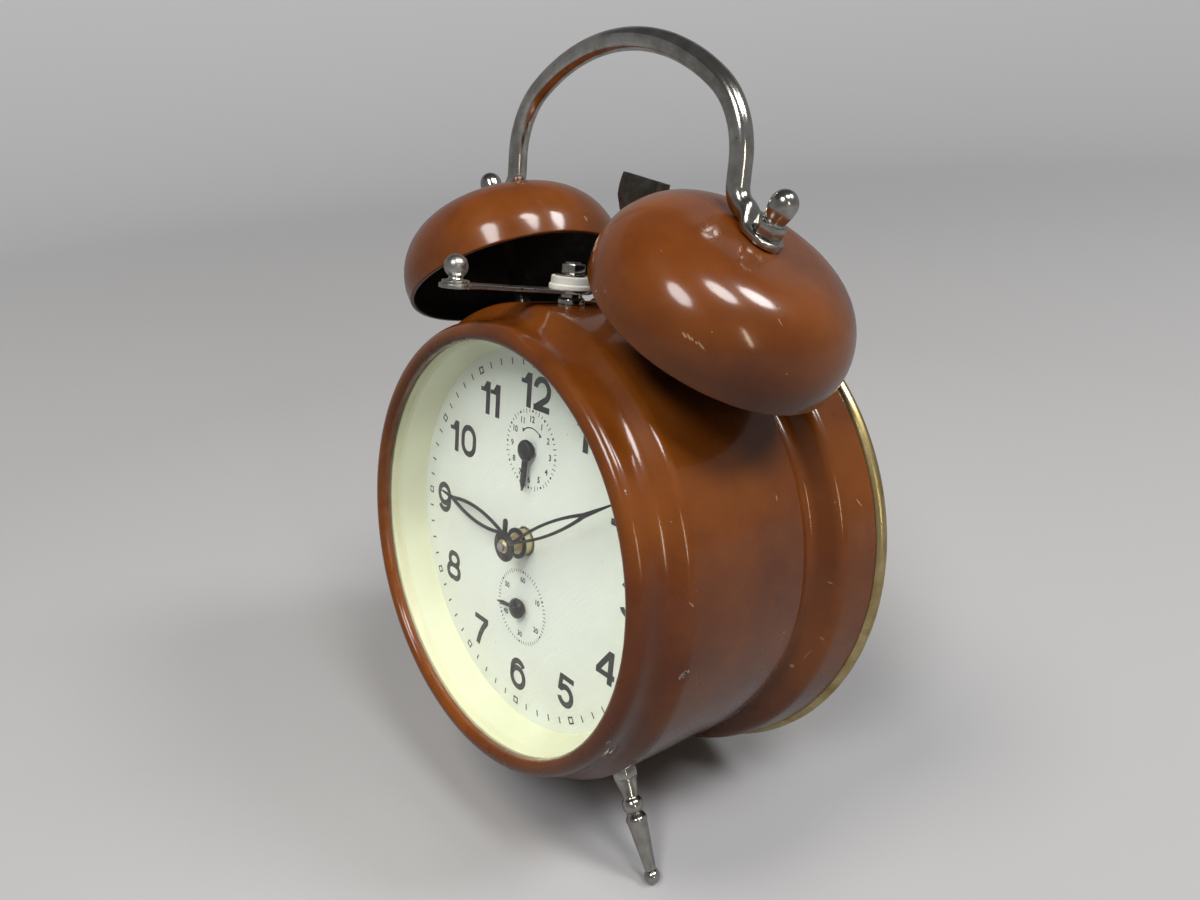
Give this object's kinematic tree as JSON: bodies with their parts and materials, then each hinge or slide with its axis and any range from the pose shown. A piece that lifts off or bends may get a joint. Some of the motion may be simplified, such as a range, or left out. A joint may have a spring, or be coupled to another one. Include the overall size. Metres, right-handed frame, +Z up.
{
  "type": "twin bell alarm clock",
  "caption": "Wind-up alarm clock: round drum case on two splayed legs, twin bells with a hammer between them, carrying handle, domed crystal, dial with hands and a sprung movement.",
  "frame": {"origin": "centre of the part's box at floor level: the two ball feet and the rear rim stand on Z = 0", "axes": "+Z up, -Y towards the viewer of the dial, +X to the dial's 3 o'clock side; the drum leans back 11.71 degrees"},
  "size_m": [0.1322, 0.0986, 0.1913],
  "materials": {
    "brown_enamel": "glossy stove enamel",
    "cover_brass": "lacquered",
    "crystal_clear": "clear polished",
    "ring_cream": "satin",
    "dial_paint": "matte with a fine embossed texture",
    "bright_nickel": "polished nickel",
    "plain_steel": "turned",
    "dull_steel": "dull, tarnished",
    "white_nylon": "translucent",
    "hand_black": "satin black",
    "spring_steel": "tempered",
    "clock_brass": "machined"
  },
  "bodies": {
    "case": {"case_shell": "brown_enamel", "back_cover": "cover_brass", "crystal": "crystal_clear", "sloped_ring": "ring_cream", "dial": "dial_paint", "bell_left": "brown_enamel", "bell_right": "brown_enamel", "bell_post_left": "bright_nickel", "bell_post_right": "bright_nickel", "bell_post_nuts": "plain_steel", "acorn_nuts": "bright_nickel", "carry_handle": "bright_nickel", "hammer_bearing": "bright_nickel", "stop_lever_stud": "plain_steel", "leg_left": "bright_nickel", "leg_right": "bright_nickel", "leg_nuts": "plain_steel", "front_plate": "clock_brass", "back_plate": "clock_brass", "plate_pillars": "plain_steel", "cover_posts": "plain_steel", "cover_screws": "plain_steel", "time_mainspring": "spring_steel", "alarm_mainspring": "spring_steel"},
    "centre": {"centre_arbor": "plain_steel", "centre_wheel": "clock_brass", "cannon_pinion": "clock_brass", "minute_hand": "hand_black", "hand_set_knob": "clock_brass"},
    "hour": {"hour_wheel": "clock_brass", "hour_hand": "hand_black"},
    "minute_work": {"minute_wheel": "clock_brass"},
    "alarm_cam": {"alarm_wheel": "clock_brass"},
    "time_great": {"time_great_wheel": "clock_brass"},
    "third": {"third_wheel": "clock_brass"},
    "seconds": {"fourth_wheel": "clock_brass", "seconds_hand": "hand_black"},
    "escape": {"escape_wheel": "clock_brass"},
    "pallets": {"pallet_lever": "clock_brass"},
    "balance": {"balance_wheel": "clock_brass", "hairspring": "spring_steel"},
    "regulator": {"regulator_lever": "plain_steel"},
    "time_winder": {"time_winding_arbor": "plain_steel", "time_key": "clock_brass"},
    "alarm_winder": {"alarm_winding_arbor": "plain_steel", "alarm_key": "clock_brass"},
    "alarm_great": {"alarm_great_wheel": "clock_brass"},
    "alarm_escape": {"alarm_escape_wheel": "clock_brass"},
    "alarm_setting": {"alarm_set_arbor": "plain_steel", "alarm_hand": "hand_black", "alarm_set_knob": "clock_brass"},
    "hammer": {"hammer_arm": "plain_steel", "hammer_ball": "plain_steel", "hammer_shaft": "plain_steel", "hammer_bush": "white_nylon", "hammer_washer": "bright_nickel", "hammer_nut": "bright_nickel"},
    "stop": {"stop_lever": "dull_steel"}
  },
  "joints": [
    {"name": "centre_spin", "type": "hinge", "parent": "case", "child": "centre", "pos_m": [0, -0.0246, 0.07655], "axis": [0, 0.9792, -0.2029], "continuous": true},
    {"name": "hour_spin", "type": "hinge", "parent": "case", "child": "hour", "pos_m": [0, -0.0246, 0.07655], "axis": [0, 0.9792, -0.2029], "continuous": true},
    {"name": "minute_wheel_spin", "type": "hinge", "parent": "case", "child": "minute_work", "pos_m": [-0.0143, -0.02544, 0.07254], "axis": [0, 0.9792, -0.2029], "continuous": true},
    {"name": "alarm_wheel_spin", "type": "hinge", "parent": "case", "child": "alarm_cam", "pos_m": [0, -0.01978, 0.09986], "axis": [0, 0.9792, -0.2029], "continuous": true},
    {"name": "time_great_spin", "type": "hinge", "parent": "case", "child": "time_great", "pos_m": [0.02536, -0.02561, 0.07173], "axis": [0, 0.9792, -0.2029], "continuous": true},
    {"name": "third_spin", "type": "hinge", "parent": "case", "child": "third", "pos_m": [-0.01171, -0.02726, 0.06376], "axis": [0, 0.9792, -0.2029], "continuous": true},
    {"name": "seconds_spin", "type": "hinge", "parent": "case", "child": "seconds", "pos_m": [0, -0.02828, 0.05883], "axis": [0, 0.9792, -0.2029], "continuous": true},
    {"name": "escape_spin", "type": "hinge", "parent": "case", "child": "escape", "pos_m": [0.00701, -0.03039, 0.04865], "axis": [0, 0.9792, -0.2029], "continuous": true},
    {"name": "pallet_rock", "type": "hinge", "parent": "case", "child": "pallets", "pos_m": [0.01585, -0.03104, 0.0455], "axis": [0, 0.9792, -0.2029], "range_deg": [-5, 5]},
    {"name": "balance_swing", "type": "hinge", "parent": "case", "child": "balance", "pos_m": [0.02377, -0.03147, 0.04342], "axis": [0, 0.9792, -0.2029], "range_deg": [-220, 220], "stiffness_Nm_per_rad": 0.000027, "deforming": ["hairspring"]},
    {"name": "regulator_turn", "type": "hinge", "parent": "case", "child": "regulator", "pos_m": [0.02377, -0.03147, 0.04342], "axis": [0, 0.9792, -0.2029], "range_deg": [-28, 28]},
    {"name": "time_winding", "type": "hinge", "parent": "case", "child": "time_winder", "pos_m": [0.02536, -0.02561, 0.07173], "axis": [0, 0.9792, -0.2029], "range_deg": [-1800, 0]},
    {"name": "alarm_winding", "type": "hinge", "parent": "case", "child": "alarm_winder", "pos_m": [-0.024, -0.02339, 0.08243], "axis": [0, 0.9792, -0.2029], "range_deg": [-1800, 0]},
    {"name": "alarm_great_spin", "type": "hinge", "parent": "case", "child": "alarm_great", "pos_m": [-0.024, -0.02339, 0.08243], "axis": [0, 0.9792, -0.2029], "continuous": true},
    {"name": "alarm_escape_spin", "type": "hinge", "parent": "case", "child": "alarm_escape", "pos_m": [-0.01453, -0.01927, 0.10231], "axis": [0, 0.9792, -0.2029], "continuous": true},
    {"name": "alarm_setting_turn", "type": "hinge", "parent": "case", "child": "alarm_setting", "pos_m": [0, -0.01978, 0.09986], "axis": [0, 0.9792, -0.2029], "continuous": true},
    {"name": "hammer_swing", "type": "hinge", "parent": "case", "child": "hammer", "pos_m": [0, -0.01618, 0.07481], "axis": [0, 0.2029, 0.9792], "range_deg": [-50, 50]},
    {"name": "stop_swing", "type": "hinge", "parent": "case", "child": "stop", "pos_m": [0, 0.00525, 0.11122], "axis": [0, -0.9792, 0.2029], "range_deg": [0, 17]}
  ],
  "couplings": [
    {"joint": "hour_spin", "follows": "centre_spin", "ratio": 0.083333},
    {"joint": "minute_wheel_spin", "follows": "centre_spin", "ratio": -0.33333},
    {"joint": "alarm_wheel_spin", "follows": "centre_spin", "ratio": -0.083333},
    {"joint": "time_great_spin", "follows": "centre_spin", "ratio": -0.13333},
    {"joint": "third_spin", "follows": "centre_spin", "ratio": -8},
    {"joint": "seconds_spin", "follows": "centre_spin", "ratio": 60},
    {"joint": "escape_spin", "follows": "centre_spin", "ratio": -600},
    {"joint": "alarm_escape_spin", "follows": "alarm_great_spin", "ratio": -8.3333}
  ]
}
